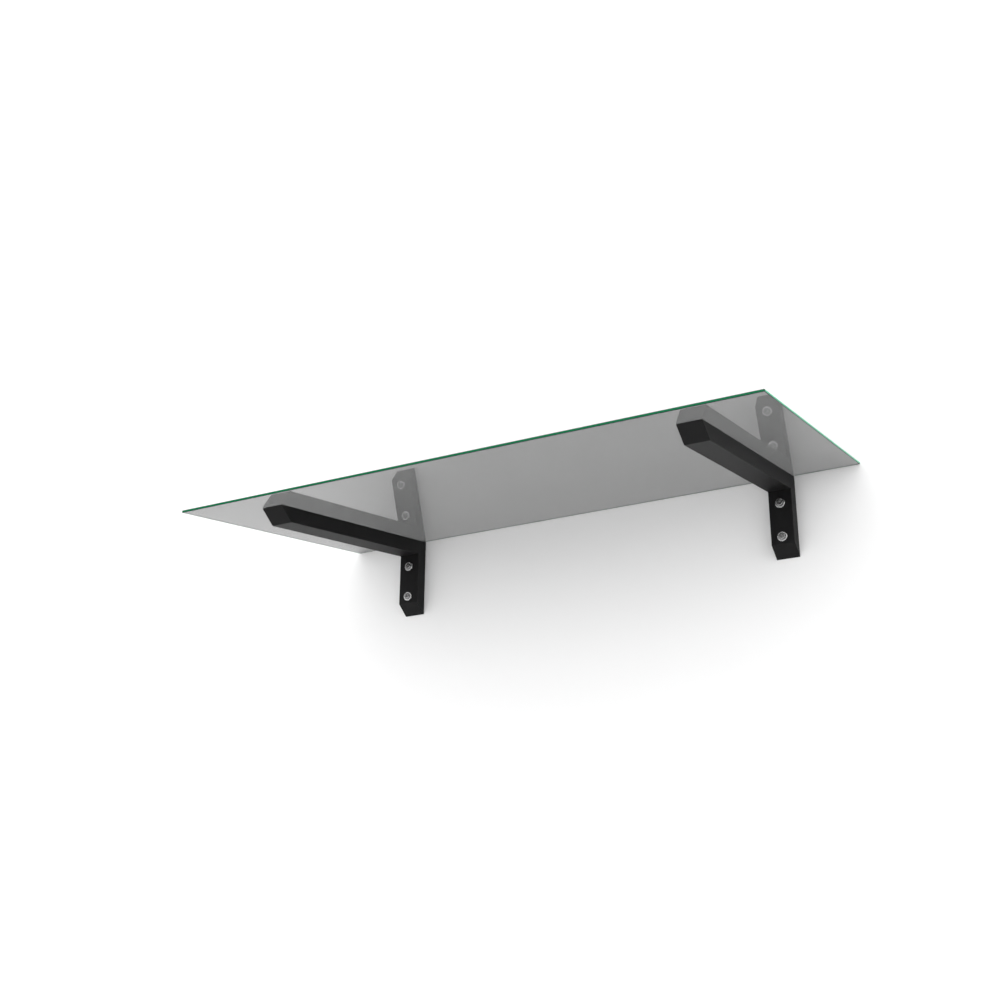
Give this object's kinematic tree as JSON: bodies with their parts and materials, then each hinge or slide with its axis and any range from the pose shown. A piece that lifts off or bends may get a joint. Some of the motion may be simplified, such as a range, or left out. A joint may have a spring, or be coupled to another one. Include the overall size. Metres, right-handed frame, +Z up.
{
  "type": "wall shelf with brackets",
  "caption": "Glass wall shelf sloping gently to the front, bonded on slim black bar brackets with bevelled ends that are screwed to the wall through washers.",
  "frame": {"origin": "on the wall surface, at the centre of the rectangle of four wall screws", "axes": "+X along the shelf, +Y into the wall, -Y towards the room, +Z up the wall"},
  "size_m": [0.75, 0.4361, 0.1124],
  "materials": {
    "glass": "polished, with green edges",
    "black_coat": "satin black powder coat",
    "screw_steel": "zinc-plated, semi-bright",
    "tape": "matt black foam tape"
  },
  "bodies": {
    "root": {"glass_shelf": "glass", "left_bracket": "black_coat", "left_bonding_tape": "tape", "left_upper_screw": "screw_steel", "left_upper_washer": "screw_steel", "left_lower_screw": "screw_steel", "left_lower_washer": "screw_steel", "right_bracket": "black_coat", "right_bonding_tape": "tape", "right_upper_screw": "screw_steel", "right_upper_washer": "screw_steel", "right_lower_screw": "screw_steel", "right_lower_washer": "screw_steel"}
  },
  "joints": []
}
